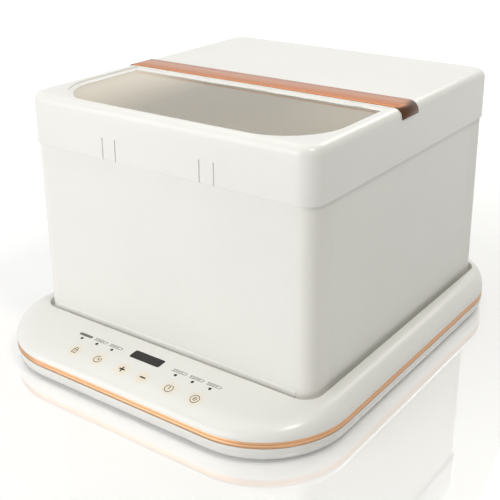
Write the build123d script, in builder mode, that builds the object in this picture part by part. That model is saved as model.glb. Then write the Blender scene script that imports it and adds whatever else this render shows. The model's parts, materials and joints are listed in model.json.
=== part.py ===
"""Folding dough proofer: a heated base, four walls that fold inwards and a lift-off lid with a window.

The origin is under the middle of the base, +Z is up and the control panel faces -Y.
"""
from build123d import *
import os
from math import cos, radians, sin

os.makedirs("parts", exist_ok=True)

# ---- lid ----
lid_width = 340.0
lid_depth = 357.0
lid_height = 52.0
lid_corner = 20.0
lid_top_round = 9.0
lid_skin = 2.3
lid_plate = 3.0
lid_step = 6.0
slit_width = 1.2
slit_height = 22.0
tongue_width = 16.2
tongue_spacing = 117.4
bump_height = 0.25
bump_length = 8.0
bump_rise = 5.5

# ---- window and strap ----
retainer_gap = 0.6
window_length = 139.0
window_front_round = 62.0
window_back_round = 4.0
window_overlap = 2.0
window_glass = 3.0
window_seal = 0.5
retainer_lip = 1.2
retainer_reach = 3.4
retainer_screw_radius = 1.0
retainer_head_radius = 1.9
retainer_head_height = 1.1
retainer_bite = 2.0
ear_reach = 6.8
ear_length = 8.0
front_ear_setback = 65.5
rear_ear_setback = 15.5
ear_inset = 46.6
strap_width = 31.6
strap_thickness = 1.1
strap_drop = 10.5
stud_radius = 1.5
stud_inset = 50.0
stud_count = 4
nut_radius = 4.0
nut_height = 1.5

# ---- folding box ----
wall_thickness = 3.2
wall_reveal = 181.0
wall_edge_round = 0.8
box_corner = 15.0
side_seam = 33.0
knuckle_radius = 3.0
pin_radius = 1.5
pin_inset = 6.0
lug_width = 12.0
lug_inset = 30.0
lug_root = 1.5
frame_bar = 13.4
moat = 4.5

# ---- base shells ----
rim_height = 40.0
side_apron = 25.0
front_apron = 69.5
rear_apron = 40.5
front_corner = 91.0
rear_corner = 95.0
foot_height = 3.0
foot_radius = 9.0
foot_sink = 1.0
foot_side_inset = 55.0
foot_inset = 69.0
band_height = 6.6
band_thickness = 1.7
band_middle = 19.4
hull_round = 11.0
dome_steps = 6
hull_steps = 5
shell_wall = 2.5
seat_depth = 4.0
ledge_height = 17.5
ledge_reach = 10.0
post_radius = 3.5
post_bottom = 13.0
post_margin = 1.8
rear_post_margin = 3.8
side_post_lines = (60.0, -90.0)
front_post_inset = 36.0
front_post_side_inset = 77.0
rear_post_side_inset = 59.0
boss_radius = 5.0
vent_count = 8
vent_pitch = 9.0
vent_width = 2.5
vent_length = 24.0

# ---- heater ----
plate_thickness = 2.0
plate_corner = 5.0
gasket_thickness = 1.0
gasket_margin = 1.0
film_thickness = 0.6
felt_thickness = 7.0
tray_skin = 0.8
tray_flange = 7.0
pad_gap = 2.0
tray_screw_inset = 3.5
tray_screw_spread = 60.0
frame_screw_spread = 75.0
frame_screw_bite = 2.4
sensor_bay_width = 44.0
sensor_bay_depth = 20.0
sensor_x = -12.0
sensor_block = 7.0
sensor_height = 3.5
fuse_x = 10.0
fuse_radius = 2.2
fuse_length = 12.0
lead_radius = 0.9
lead_bend = 2.5

# ---- control panel ----
key_offsets = (13.1, 45.3, 75.9)
key_setback = 22.1
lamp_offsets = (40.8, 61.2, 81.6)
lamp_setback = 37.8
lamp_radius = 1.4
display_width = 37.4
display_length = 11.8
display_setback = 44.3
display_corner = 2.0
lens_thickness = 2.0
board_thickness = 1.6
control_board_top = 25.0
control_board_width = 200.0
control_board_length = 41.0
control_board_setback = 37.5
control_post_x = 94.0
control_post_setbacks = (54.0, 21.0)
spring_radius = 3.2
spring_wire = 0.6
spring_top = 32.2
control_screw_reach = 6.0
lamp_height = 1.9
display_module_height = 10.2
ribbon_x = 0.0
ribbon_width = 10.0
ribbon_thickness = 0.8
buzzer_radius = 6.0
buzzer_height = 6.0

# ---- power supply ----
power_board_bottom = 9.0
power_board_width = 130.0
power_board_length = 24.0
power_board_x = -30.0
power_board_setback = 21.0
power_post_x = 60.0
power_post_y = 8.5
power_screw_reach = 4.5
component_round = 1.0
transformer_x = -68.0
transformer_size = (20.0, 17.0, 15.0)
relay_x = -40.0
relay_size = (15.0, 19.0, 15.5)
capacitors = ((-20.0, 5.0, 16.0), (-7.0, 4.0, 12.0), (2.5, 4.0, 12.0))
terminal_x = 18.0
terminal_size = (12.0, 20.0, 14.0)
inlet_x = 62.0
inlet_width = 26.0
inlet_height = 17.0
inlet_depth = 15.7
inlet_middle = 20.0
socket_width = 17.6
socket_height = 8.4
socket_depth = 12.0
contact_radius = 1.2
contact_pitch = 8.6
contact_setback = 4.0
contact_tail = 4.0

# ---- small screws ----
screw_radius = 1.2
screw_slot = 0.5
screw_head_radius = 2.2
screw_head_height = 1.4
housing_screw_radius = 1.45
housing_head_radius = 3.0
housing_head_height = 2.1
housing_seat = 9.0
housing_screw_reach = 9.0

# ---- clearances ----
slip = 0.5
seat_gap = 0.3
seam_gap = 0.1
pin_gap = 0.15
press_gap = 0.05

# ---- derived sizes ----
base_width = lid_width + 2 * side_apron
box_y = (front_apron - rear_apron) / 2
box_width = lid_width - 2 * (lid_skin + slip)
box_depth = lid_depth - 2 * (lid_skin + slip)
lid_bottom = rim_height + wall_reveal
lid_top = lid_bottom + lid_height
wall_top = lid_top - lid_plate - lid_step - seat_gap
well_width = box_width + 2 * moat
well_depth = box_depth + 2 * moat
well_corner = box_corner + moat
dome_bottom = band_middle + band_height / 2 + seam_gap
dome_height = rim_height - dome_bottom
hull_top = band_middle - band_height / 2 - seam_gap
hull_height = hull_top - foot_height
front_reach = lid_depth / 2 + front_apron
rear_reach = lid_depth / 2 + rear_apron
frame_width = well_width - 2 * seat_gap
frame_depth = well_depth - 2 * seat_gap
frame_opening_width = frame_width - 2 * frame_bar
frame_opening_depth = frame_depth - 2 * frame_bar
plate_width = frame_opening_width - 2 * slip
plate_depth = frame_opening_depth - 2 * slip
ledge_opening_width = plate_width - 2 * ledge_reach
ledge_opening_depth = plate_depth - 2 * ledge_reach
plate_bottom = ledge_height + gasket_thickness
plate_top = plate_bottom + plate_thickness
hinge_step = wall_thickness + 1.0
first_pivot = plate_top + knuckle_radius + 0.7
floor_top = foot_height + shell_wall
lead_level = power_board_bottom - lead_radius
window_front = wall_thickness + retainer_reach + retainer_gap - box_depth / 2
window_back = window_front + window_length
strap_line = window_back + slip + strap_width / 2
film_bottom = plate_bottom - film_thickness
felt_bottom = film_bottom - felt_thickness
tray_bottom = felt_bottom - tray_skin
ledge_bottom = ledge_height - shell_wall
pad_width = ledge_opening_width - 2 * pad_gap
pad_depth = ledge_opening_depth - 2 * pad_gap
tray_width = ledge_opening_width + 2 * tray_flange
tray_depth = ledge_opening_depth + 2 * tray_flange
plate_under = lid_top - lid_plate
glass_top = plate_under - window_seal
glass_bottom = glass_top - window_glass
window_half = box_width / 2 - wall_thickness - ear_reach - retainer_gap
ear_middle = (window_overlap + seam_gap + ear_reach) / 2
foot_x = base_width / 2 - foot_side_inset
foot_y = rear_reach - foot_inset
key_line = front_reach - key_setback
lamp_line = front_reach - lamp_setback
display_line = front_reach - display_setback
control_board_line = front_reach - control_board_setback
control_post_lines = [front_reach - setback for setback in control_post_setbacks]
power_board_line = rear_reach - power_board_setback
side_post_x = well_width / 2 + shell_wall + post_margin + post_radius
front_post = (base_width / 2 - front_post_side_inset, front_post_inset - front_reach)
rear_post = (
    base_width / 2 - rear_post_side_inset,
    well_depth / 2 + shell_wall + rear_post_margin + post_radius,
)


def level(height):
    """Horizontal plane through the box's centre line at a height above the floor."""
    return Plane((0, box_y, height))


def facing_x(distance):
    """Upright plane square to X; its own x runs to the rear and its own y runs up."""
    return Plane(origin=(distance, box_y, 0), x_dir=(0, 1, 0), z_dir=(1, 0, 0))


def facing_front(distance):
    """Upright plane square to Y; its own x runs right, its own y up and its normal to the front."""
    return Plane(origin=(0, box_y + distance, 0), x_dir=(1, 0, 0), z_dir=(0, -1, 0))


def save(piece, name):
    """Label a finished piece and write it under its own name."""
    piece.label = name
    export_step(piece, "parts/" + name + ".step")


# ---------------------------------------------------------------------------
# Shared shapes of the base
# ---------------------------------------------------------------------------
def base_outline(height, side, front, rear, front_round, rear_round):
    """Plan outline of the base at a height, from its reaches and its corner radii."""
    with BuildSketch(level(height)) as outline:
        with Locations((0, (rear - front) / 2)):
            Rectangle(2 * side, front + rear)
        fillet(outline.vertices().group_by(Axis.Y)[0], front_round)
        fillet(outline.vertices().group_by(Axis.Y)[-1], rear_round)
    return outline.sketch


def inset_outline(height, inset):
    """The base's widest outline, drawn in by an inset."""
    return base_outline(
        height,
        base_width / 2 - inset,
        front_reach - inset,
        rear_reach - inset,
        front_corner - inset,
        rear_corner - inset,
    )


def box_outline(height, width, depth, corner):
    """Rounded rectangle about the box's centre line."""
    with BuildSketch(level(height)) as outline:
        RectangleRounded(width, depth, corner)
    return outline.sketch


def corner_pairs(side, end, spread):
    """Eight places round a rectangular frame: a pair on each side and a pair on each end."""
    on_sides = [(x, y) for x in (-side, side) for y in (-spread, spread)]
    on_ends = [(x, y) for x in (-spread, spread) for y in (-end, end)]
    return on_sides + on_ends


def make_dome(inset):
    """Solid under the base's convex top, from the trim band up to the rim round the box."""
    with BuildPart() as dome:
        for step in range(dome_steps + 1):
            angle = radians(90 * step / dome_steps)
            run = 1 - cos(angle)
            add(
                base_outline(
                    dome_bottom + (dome_height - inset) * sin(angle),
                    base_width / 2 - inset - (base_width - well_width) / 2 * run,
                    front_reach - inset - (front_reach - well_depth / 2) * run,
                    rear_reach - inset - (rear_reach - well_depth / 2) * run,
                    front_corner - inset - (front_corner - well_corner) * run,
                    rear_corner - inset - (rear_corner - well_corner) * run,
                )
            )
        loft()
    return dome.part


def make_hull(inset):
    """Solid inside the base's lower part, drawn in towards its flat bottom."""
    with BuildPart() as hull:
        for step in range(hull_steps + 1):
            angle = radians(90 * step / hull_steps)
            add(
                inset_outline(
                    hull_top - (hull_height - inset) * sin(angle),
                    inset + hull_round * (1 - cos(angle)),
                )
            )
        loft()
    return hull.part


dome_outer = make_dome(0)
dome_inner = make_dome(shell_wall)
tray_screw_places = corner_pairs(
    ledge_opening_width / 2 + tray_screw_inset, ledge_opening_depth / 2 + tray_screw_inset, tray_screw_spread
)
frame_screw_places = corner_pairs(
    (frame_width - frame_bar) / 2, (frame_depth - frame_bar) / 2, frame_screw_spread
)
post_places = [
    (sign * x, y)
    for sign in (-1, 1)
    for x, y in (front_post, rear_post, *[(side_post_x, line) for line in side_post_lines])
]
control_posts = [
    (x, -line) for x in (-control_post_x, control_post_x) for line in control_post_lines
]
power_posts = [
    (power_board_x + x, power_board_line + y)
    for x in (-power_post_x, power_post_x)
    for y in (-power_post_y, power_post_y)
]
lamp_places = [(sign * x, -lamp_line) for x in lamp_offsets for sign in (-1, 1)]
key_places = [(sign * x, -key_line) for x in key_offsets for sign in (-1, 1)]


# ---------------------------------------------------------------------------
# Upper shell: convex top, recess round the box and the ledge that carries the plate
# ---------------------------------------------------------------------------
with BuildPart() as under_skin:
    add(inset_outline(0, shell_wall / 2))
    extrude(amount=dome_bottom + seam_gap)
    add(make_dome(shell_wall / 2))

with BuildPart() as shell_posts:
    with BuildSketch(level(post_bottom)):
        with Locations(*post_places):
            Circle(post_radius)
    extrude(amount=rim_height - post_bottom)
    with BuildSketch(level(control_board_top)):
        with Locations(*control_posts):
            Circle(post_radius)
    extrude(amount=rim_height - control_board_top)
    add(under_skin.part, mode=Mode.INTERSECT)

with BuildPart() as base_upper_shell:
    add(dome_outer)
    add(dome_inner, mode=Mode.SUBTRACT)
    add(box_outline(ledge_bottom, well_width + 2 * shell_wall, well_depth + 2 * shell_wall,
                    well_corner + shell_wall))
    extrude(amount=rim_height - shell_wall / 2 - ledge_bottom)
    add(box_outline(ledge_height, well_width, well_depth, well_corner))
    extrude(amount=rim_height, mode=Mode.SUBTRACT)
    add(box_outline(ledge_bottom, ledge_opening_width, ledge_opening_depth, plate_corner))
    extrude(amount=rim_height, mode=Mode.SUBTRACT)
    add(shell_posts.part)
    with BuildSketch(level(post_bottom)):
        with Locations(*post_places):
            Circle(housing_screw_radius + press_gap)
    extrude(amount=housing_screw_reach + press_gap, mode=Mode.SUBTRACT)
    with BuildSketch(level(control_board_top)):
        with Locations(*control_posts):
            Circle(screw_radius + press_gap)
    extrude(amount=control_screw_reach + press_gap, mode=Mode.SUBTRACT)
    with BuildSketch(level(control_board_top)):
        with Locations(*lamp_places):
            Circle(lamp_radius + seam_gap)
        with Locations((0, -display_line)):
            RectangleRounded(
                display_width + 2 * seam_gap, display_length + 2 * seam_gap, display_corner + seam_gap
            )
    extrude(amount=rim_height, mode=Mode.SUBTRACT)
    with BuildSketch(level(ledge_bottom)):
        with Locations(*tray_screw_places, *frame_screw_places):
            Circle(screw_radius + press_gap)
    extrude(amount=shell_wall, mode=Mode.SUBTRACT)
    with BuildSketch(facing_front(rear_reach + slip)):
        with Locations((inlet_x, inlet_middle)):
            Rectangle(inlet_width + 2 * seat_gap, inlet_height + 2 * seat_gap)
    extrude(amount=inlet_depth + slip, mode=Mode.SUBTRACT)
save(base_upper_shell.part, "base_upper_shell")


# ---------------------------------------------------------------------------
# Lower shell: rounded tray with the seat of the trim band, screw bosses and vents
# ---------------------------------------------------------------------------
with BuildPart() as base_lower_shell:
    add(make_hull(0))
    add(make_hull(shell_wall), mode=Mode.SUBTRACT)
    add(inset_outline(hull_top - seat_depth, band_thickness + 2 * seam_gap))
    extrude(amount=seat_depth + band_height + seam_gap)
    add(inset_outline(hull_top - seat_depth, band_thickness + 2 * seam_gap + shell_wall))
    extrude(amount=seat_depth + band_height + seam_gap, mode=Mode.SUBTRACT)
    with BuildSketch(level(floor_top - seam_gap)):
        with Locations(*post_places):
            Circle(boss_radius)
    extrude(amount=post_bottom - press_gap - floor_top + seam_gap)
    with BuildSketch(level(floor_top - seam_gap)):
        with Locations(*power_posts):
            Circle(post_radius)
    extrude(amount=power_board_bottom - floor_top + seam_gap)
    with BuildSketch(level(floor_top)):
        with Locations(*power_posts):
            Circle(screw_radius + press_gap)
    extrude(amount=power_board_bottom, mode=Mode.SUBTRACT)
    with BuildSketch(level(foot_height)):
        with Locations(*post_places):
            Circle(housing_head_radius + seat_gap)
    extrude(amount=housing_seat - foot_height, mode=Mode.SUBTRACT)
    with BuildSketch(level(foot_height)):
        with Locations(*post_places):
            Circle(housing_screw_radius + press_gap)
    extrude(amount=post_bottom, mode=Mode.SUBTRACT)
    with BuildSketch(level(foot_height)):
        with GridLocations(2 * foot_x, 2 * foot_y, 2, 2):
            Circle(foot_radius + seam_gap)
    extrude(amount=foot_sink, mode=Mode.SUBTRACT)
    with BuildSketch(level(foot_height)):
        with Locations((0, power_board_line - vent_length)):
            with GridLocations(vent_pitch, 1, vent_count, 1):
                SlotOverall(vent_length, vent_width, rotation=90)
    extrude(amount=shell_wall, mode=Mode.SUBTRACT)
    with BuildSketch(facing_front(rear_reach + slip)):
        with Locations((inlet_x, inlet_middle)):
            Rectangle(inlet_width + 2 * seat_gap, inlet_height + 2 * seat_gap)
    extrude(amount=inlet_depth + slip, mode=Mode.SUBTRACT)
save(base_lower_shell.part, "base_lower_shell")

with BuildPart() as trim_band:
    add(inset_outline(hull_top + seam_gap, 2 * seam_gap))
    extrude(amount=band_height)
    add(inset_outline(hull_top + seam_gap, seam_gap + band_thickness))
    extrude(amount=band_height, mode=Mode.SUBTRACT)
    with BuildSketch(facing_front(rear_reach + slip)):
        with Locations((inlet_x, inlet_middle)):
            Rectangle(inlet_width + 2 * seat_gap, inlet_height + 2 * seat_gap)
    extrude(amount=inlet_depth + slip, mode=Mode.SUBTRACT)
save(trim_band.part, "trim_band")

with BuildPart() as rubber_feet:
    with BuildSketch(level(0)):
        with GridLocations(2 * foot_x, 2 * foot_y, 2, 2):
            Circle(foot_radius)
    extrude(amount=foot_height + foot_sink)
    chamfer(rubber_feet.faces().group_by(Axis.Z)[0].edges(), seat_gap)
save(rubber_feet.part, "rubber_feet")

with BuildPart() as housing_screws:
    with BuildSketch(level(housing_seat - housing_head_height)):
        with Locations(*post_places):
            Circle(housing_head_radius)
    extrude(amount=housing_head_height - press_gap)
    with BuildSketch(level(housing_seat - housing_head_height)):
        with Locations(*post_places):
            Circle(housing_screw_radius)
    extrude(amount=housing_head_height + post_bottom - housing_seat + housing_screw_reach)
    with BuildSketch(level(housing_seat - housing_head_height)):
        with Locations(*post_places):
            RegularPolygon(housing_head_radius / 2, 6)
    extrude(amount=housing_head_height / 2, mode=Mode.SUBTRACT)
save(housing_screws.part, "housing_screws")


# ---------------------------------------------------------------------------
# Heater: plate on its gasket, film bonded below it, felt and a steel tray
# ---------------------------------------------------------------------------
with BuildPart() as plate_gasket:
    add(box_outline(ledge_height, plate_width - 2 * gasket_margin, plate_depth - 2 * gasket_margin,
                    plate_corner))
    extrude(amount=gasket_thickness)
    add(box_outline(ledge_height, ledge_opening_width + 2 * gasket_margin,
                    ledge_opening_depth + 2 * gasket_margin, plate_corner))
    extrude(amount=gasket_thickness, mode=Mode.SUBTRACT)
save(plate_gasket.part, "plate_gasket")

with BuildPart() as warming_plate:
    add(box_outline(plate_bottom, plate_width, plate_depth, plate_corner))
    extrude(amount=plate_thickness)
    fillet(warming_plate.faces().sort_by(Axis.Z)[-1].edges(), plate_thickness / 4)
save(warming_plate.part, "warming_plate")

for name, bottom, thickness in (
    ("heater_film", film_bottom, film_thickness),
    ("heater_insulation", felt_bottom, felt_thickness),
):
    with BuildPart() as pad:
        add(box_outline(bottom, pad_width, pad_depth, plate_corner))
        extrude(amount=thickness)
        with BuildSketch(level(bottom)):
            Rectangle(sensor_bay_width, sensor_bay_depth)
        extrude(amount=thickness, mode=Mode.SUBTRACT)
    save(pad.part, name)

with BuildPart() as heater_tray:
    add(box_outline(tray_bottom, pad_width + 2 * (seat_gap + tray_skin),
                    pad_depth + 2 * (seat_gap + tray_skin), plate_corner + seat_gap + tray_skin))
    extrude(amount=ledge_bottom - tray_bottom)
    add(box_outline(ledge_bottom - tray_skin, tray_width, tray_depth, plate_corner + tray_flange))
    extrude(amount=tray_skin)
    add(box_outline(felt_bottom, pad_width + 2 * seat_gap, pad_depth + 2 * seat_gap,
                    plate_corner + seat_gap))
    extrude(amount=ledge_bottom - felt_bottom, mode=Mode.SUBTRACT)
    with BuildSketch(level(tray_bottom)):
        Rectangle(sensor_bay_width, sensor_bay_depth)
    extrude(amount=tray_skin, mode=Mode.SUBTRACT)
    with BuildSketch(level(ledge_bottom - tray_skin)):
        with Locations(*tray_screw_places):
            Circle(screw_radius + press_gap)
    extrude(amount=tray_skin, mode=Mode.SUBTRACT)
save(heater_tray.part, "heater_tray")

for name, places, seat, reach in (
    ("tray_screws", tray_screw_places, ledge_bottom - tray_skin, shell_wall),
    ("hinge_frame_screws", frame_screw_places, ledge_bottom, shell_wall + frame_screw_bite),
    ("power_board_screws", power_posts, power_board_bottom + board_thickness, -power_screw_reach),
    ("control_board_screws", control_posts, control_board_top - board_thickness, control_screw_reach),
):
    turn = 1 if reach > 0 else -1
    with BuildPart() as screws:
        with BuildSketch(level(seat)):
            with Locations(*places):
                Circle(screw_head_radius)
        extrude(amount=-turn * screw_head_height)
        with BuildSketch(level(seat - turn * press_gap)):
            with Locations(*places):
                Circle(screw_radius)
        extrude(amount=reach)
        with BuildSketch(level(seat - turn * screw_head_height)):
            with Locations(*places):
                Rectangle(2 * screw_radius, screw_slot)
                Rectangle(screw_slot, 2 * screw_radius)
        extrude(amount=turn * screw_head_height / 2, mode=Mode.SUBTRACT)
    save(screws.part, name)

with BuildPart() as temperature_sensor:
    with BuildSketch(level(plate_bottom - seam_gap)):
        with Locations((sensor_x, 0)):
            RectangleRounded(2 * sensor_block, sensor_block, component_round)
    extrude(amount=-sensor_height)
save(temperature_sensor.part, "temperature_sensor")

with BuildPart() as thermal_fuse:
    with BuildSketch(facing_x(fuse_x - fuse_length / 2)):
        with Locations((0, plate_bottom - seam_gap - fuse_radius)):
            Circle(fuse_radius)
    extrude(amount=fuse_length)
save(thermal_fuse.part, "thermal_fuse")


# ---------------------------------------------------------------------------
# Control panel: lens, lamps, touch springs and the board behind the shell's skin
# ---------------------------------------------------------------------------
with BuildPart() as display_window:
    with BuildSketch(level(control_board_top)):
        with Locations((0, -display_line)):
            RectangleRounded(display_width, display_length, display_corner)
    extrude(amount=rim_height)
    add(dome_outer, mode=Mode.INTERSECT)
    add(make_dome(lens_thickness), mode=Mode.SUBTRACT)
save(display_window.part, "display_window")

with BuildPart() as indicator_light_pipes:
    with BuildSketch(level(control_board_top + lamp_height + seat_gap)):
        with Locations(*lamp_places):
            Circle(lamp_radius)
    extrude(amount=rim_height)
    add(dome_outer, mode=Mode.INTERSECT)
save(indicator_light_pipes.part, "indicator_light_pipes")

with BuildPart() as indicator_leds:
    with BuildSketch(level(control_board_top)):
        with Locations(*lamp_places):
            Rectangle(2 * lamp_radius + slip, 2 * lamp_radius)
    extrude(amount=lamp_height)
save(indicator_leds.part, "indicator_leds")

with BuildPart() as touch_springs:
    with BuildSketch(level(control_board_top)):
        with Locations(*key_places):
            Circle(spring_radius)
            Circle(spring_radius - spring_wire, mode=Mode.SUBTRACT)
    extrude(amount=spring_top - control_board_top)
save(touch_springs.part, "touch_springs")

with BuildPart() as display_module:
    with BuildSketch(level(control_board_top)):
        with Locations((0, -display_line)):
            Rectangle(display_width - 2 * slip, display_length - 2 * slip)
    extrude(amount=display_module_height)
save(display_module.part, "display_module")

with BuildPart() as control_board:
    with BuildSketch(level(control_board_top)):
        with Locations((0, -control_board_line)):
            Rectangle(control_board_width, control_board_length)
        with Locations(*control_posts):
            Circle(screw_radius + press_gap, mode=Mode.SUBTRACT)
    extrude(amount=-board_thickness)
save(control_board.part, "control_board")

with BuildPart() as buzzer:
    with BuildSketch(level(control_board_top - board_thickness)):
        with Locations((0, -key_line + buzzer_radius)):
            Circle(buzzer_radius)
    extrude(amount=-buzzer_height)
    with BuildSketch(level(control_board_top - board_thickness - buzzer_height)):
        with Locations((0, -key_line + buzzer_radius)):
            Circle(screw_radius)
    extrude(amount=buzzer_height / 2, mode=Mode.SUBTRACT)
save(buzzer.part, "buzzer")


# ---------------------------------------------------------------------------
# Power supply at the rear, the inlet and the leads under the tray
# ---------------------------------------------------------------------------
power_board_top = power_board_bottom + board_thickness

with BuildPart() as power_board:
    with BuildSketch(level(power_board_bottom)):
        with Locations((power_board_x, power_board_line)):
            Rectangle(power_board_width, power_board_length)
        with Locations(*power_posts):
            Circle(screw_radius + press_gap, mode=Mode.SUBTRACT)
    extrude(amount=board_thickness)
save(power_board.part, "power_board")

for name, x, (width, depth, height) in (
    ("power_transformer", transformer_x, transformer_size),
    ("power_relay", relay_x, relay_size),
    ("terminal_block", terminal_x, terminal_size),
):
    with BuildPart() as component:
        with BuildSketch(level(power_board_top)):
            with Locations((x, power_board_line)):
                RectangleRounded(width, depth, component_round)
        extrude(amount=height)
        chamfer(component.faces().sort_by(Axis.Z)[-1].edges(), slip)
    save(component.part, name)

with BuildPart() as power_capacitors:
    for x, radius, height in capacitors:
        with BuildSketch(level(power_board_top)):
            with Locations((x, power_board_line)):
                Circle(radius)
        extrude(amount=height)
save(power_capacitors.part, "power_capacitors")

with BuildPart() as power_inlet:
    with BuildSketch(facing_front(rear_reach - seat_gap)):
        with Locations((inlet_x, inlet_middle)):
            Rectangle(inlet_width, inlet_height)
    extrude(amount=inlet_depth - seat_gap)
    with BuildSketch(facing_front(rear_reach - seat_gap)):
        with Locations((inlet_x, inlet_middle)):
            SlotOverall(socket_width, socket_height)
    extrude(amount=socket_depth, mode=Mode.SUBTRACT)
    with BuildSketch(facing_front(rear_reach - seat_gap)):
        with Locations((inlet_x, inlet_middle)):
            with GridLocations(contact_pitch, 1, 2, 1):
                Circle(contact_radius + press_gap)
    extrude(amount=inlet_depth, mode=Mode.SUBTRACT)
save(power_inlet.part, "power_inlet")

with BuildPart() as inlet_contacts:
    with BuildSketch(facing_front(rear_reach - seat_gap - contact_setback)):
        with Locations((inlet_x, inlet_middle)):
            with GridLocations(contact_pitch, 1, 2, 1):
                Circle(contact_radius)
    extrude(amount=inlet_depth + contact_tail - contact_setback)
save(inlet_contacts.part, "inlet_contacts")

inlet_tail = rear_reach - seat_gap - inlet_depth - contact_tail
with BuildPart() as inlet_leads:
    for side in (-1, 1):
        pin_x = inlet_x + side * contact_pitch / 2
        run_y = inlet_tail - (3 + side) * lead_bend
        with BuildLine(level(inlet_middle)) as route:
            FilletPolyline(
                (pin_x, inlet_tail),
                (pin_x, run_y),
                (terminal_x + terminal_size[0] / 2, run_y),
                radius=lead_bend,
            )
        with BuildSketch(Plane(origin=route.line @ 0, z_dir=route.line % 0)):
            Circle(lead_radius)
        sweep(path=route)
save(inlet_leads.part, "inlet_leads")

heater_lead_route = (
    (0, plate_bottom - seam_gap - 2 * fuse_radius),
    (0, lead_level),
    (power_board_line, lead_level),
)
sensor_lead_route = (
    (0, plate_bottom - seam_gap - sensor_height),
    (0, lead_level),
    (-control_board_line, lead_level),
    (-control_board_line, control_board_top - board_thickness),
)
for name, start_x, points in (
    ("heater_leads", fuse_x, heater_lead_route),
    ("sensor_leads", sensor_x, sensor_lead_route),
):
    with BuildPart() as leads:
        for x in (start_x - 2 * lead_radius, start_x + 2 * lead_radius):
            with BuildLine(facing_x(x)) as route:
                FilletPolyline(*points, radius=lead_bend)
            with BuildSketch(Plane(origin=route.line @ 0, z_dir=route.line % 0)):
                Circle(lead_radius)
            sweep(path=route)
    save(leads.part, name)

with BuildPart() as ribbon_cable:
    with BuildLine(facing_x(ribbon_x)) as route:
        FilletPolyline(
            (-control_board_line, control_board_top - board_thickness),
            (-control_board_line, lead_level),
            (power_board_line, lead_level),
            (power_board_line, power_board_bottom),
            radius=ribbon_thickness,
        )
    with BuildSketch(Plane(origin=route.line @ 0, x_dir=(1, 0, 0), z_dir=route.line % 0)):
        Rectangle(ribbon_width, ribbon_thickness)
    sweep(path=route)
save(ribbon_cable.part, "ribbon_cable")


# ---------------------------------------------------------------------------
# Hinges: a frame in the recess with lugs, four steel pins and four walls.
# Each wall's pin lies one wall higher than the last, so the folded walls stack.
# ---------------------------------------------------------------------------
sides = ("left", "right", "back", "front")
along = {"left": (0, -1, 0), "right": (0, 1, 0), "back": (-1, 0, 0), "front": (1, 0, 0)}
pivot_height = {side: first_pivot + hinge_step * sides.index(side) for side in sides}
side_wall_width = box_depth - 2 * side_seam
end_wall_width = box_width - 2 * box_corner
wall_width = {side: side_wall_width for side in ("left", "right")}
wall_width.update({side: end_wall_width for side in ("back", "front")})
box_reach = {"left": box_width / 2, "right": box_width / 2, "back": box_depth / 2, "front": box_depth / 2}


def hinge_plane(side):
    """Plane on a wall's pin: its x runs along the pin, its y points into the box."""
    inward = Vector(0, 0, 1).cross(Vector(*along[side]))
    origin = Vector(0, box_y, pivot_height[side]) - inward * (box_reach[side] - knuckle_radius)
    return Plane(origin=origin, x_dir=along[side], z_dir=(0, 0, 1))


def lug_places(side):
    """Where the lugs stand along a wall's pin."""
    reach = wall_width[side] / 2 - lug_inset
    return [(-reach, 0, 0), (0, 0, 0), (reach, 0, 0)]


def make_lugs(side):
    """Lugs of one wall, rounded over the pin and rooted in the frame's sill."""
    drop = knuckle_radius + slip + lug_root
    with BuildPart(hinge_plane(side)) as lugs:
        with Locations(*lug_places(side)):
            Cylinder(knuckle_radius, lug_width, rotation=(0, 90, 0))
            with Locations((0, 0, -drop / 2)):
                Box(lug_width, 2 * knuckle_radius, drop)
    return lugs.part


def sill_region(side):
    """Centre and size of the stretch of the frame below one wall."""
    span = side_wall_width + 2 * slip
    if side in ("left", "right"):
        turn = -1 if side == "left" else 1
        return (turn * frame_width / 4, 0), (frame_width / 2, span)
    turn = 1 if side == "back" else -1
    end = (frame_depth - span) / 2
    return (0, turn * (span + end) / 2), (frame_width, end)


with BuildPart() as hinge_frame:
    for side in sides:
        centre, size = sill_region(side)
        with BuildSketch(level(ledge_height)):
            RectangleRounded(frame_width, frame_depth, well_corner - seat_gap)
            RectangleRounded(frame_opening_width, frame_opening_depth, plate_corner, mode=Mode.SUBTRACT)
            with Locations(centre):
                Rectangle(*size, mode=Mode.INTERSECT)
        extrude(amount=pivot_height[side] - knuckle_radius - slip - ledge_height)
        add(make_lugs(side))
    for side in sides:
        with Locations(hinge_plane(side)):
            Cylinder(
                pin_radius + press_gap, wall_width[side], rotation=(0, 90, 0), mode=Mode.SUBTRACT
            )
    with BuildSketch(level(ledge_height)):
        with Locations(*frame_screw_places):
            Circle(screw_radius + press_gap)
    extrude(amount=frame_screw_bite, mode=Mode.SUBTRACT)
save(hinge_frame.part, "hinge_frame")

for side in sides:
    with BuildPart(hinge_plane(side)) as hinge_pin:
        Cylinder(pin_radius, wall_width[side] - 2 * pin_inset, rotation=(0, 90, 0))
    save(hinge_pin.part, side + "_hinge_pin")

for side in sides:
    width = wall_width[side]
    height = wall_top - pivot_height[side]
    with BuildPart(hinge_plane(side)) as wall:
        with Locations((0, wall_thickness / 2 - knuckle_radius, height / 2)):
            Box(width, wall_thickness, height)
        fillet(wall.faces().sort_by(Axis.Z)[-1].edges(), wall_edge_round)
        Cylinder(knuckle_radius, width, rotation=(0, 90, 0))
        with Locations(*lug_places(side)):
            Box(
                lug_width + 2 * slip,
                2 * (knuckle_radius + slip),
                2 * (knuckle_radius + slip),
                mode=Mode.SUBTRACT,
            )
        Cylinder(pin_radius + pin_gap, width, rotation=(0, 90, 0), mode=Mode.SUBTRACT)
    save(wall.part, side + "_wall")

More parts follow.
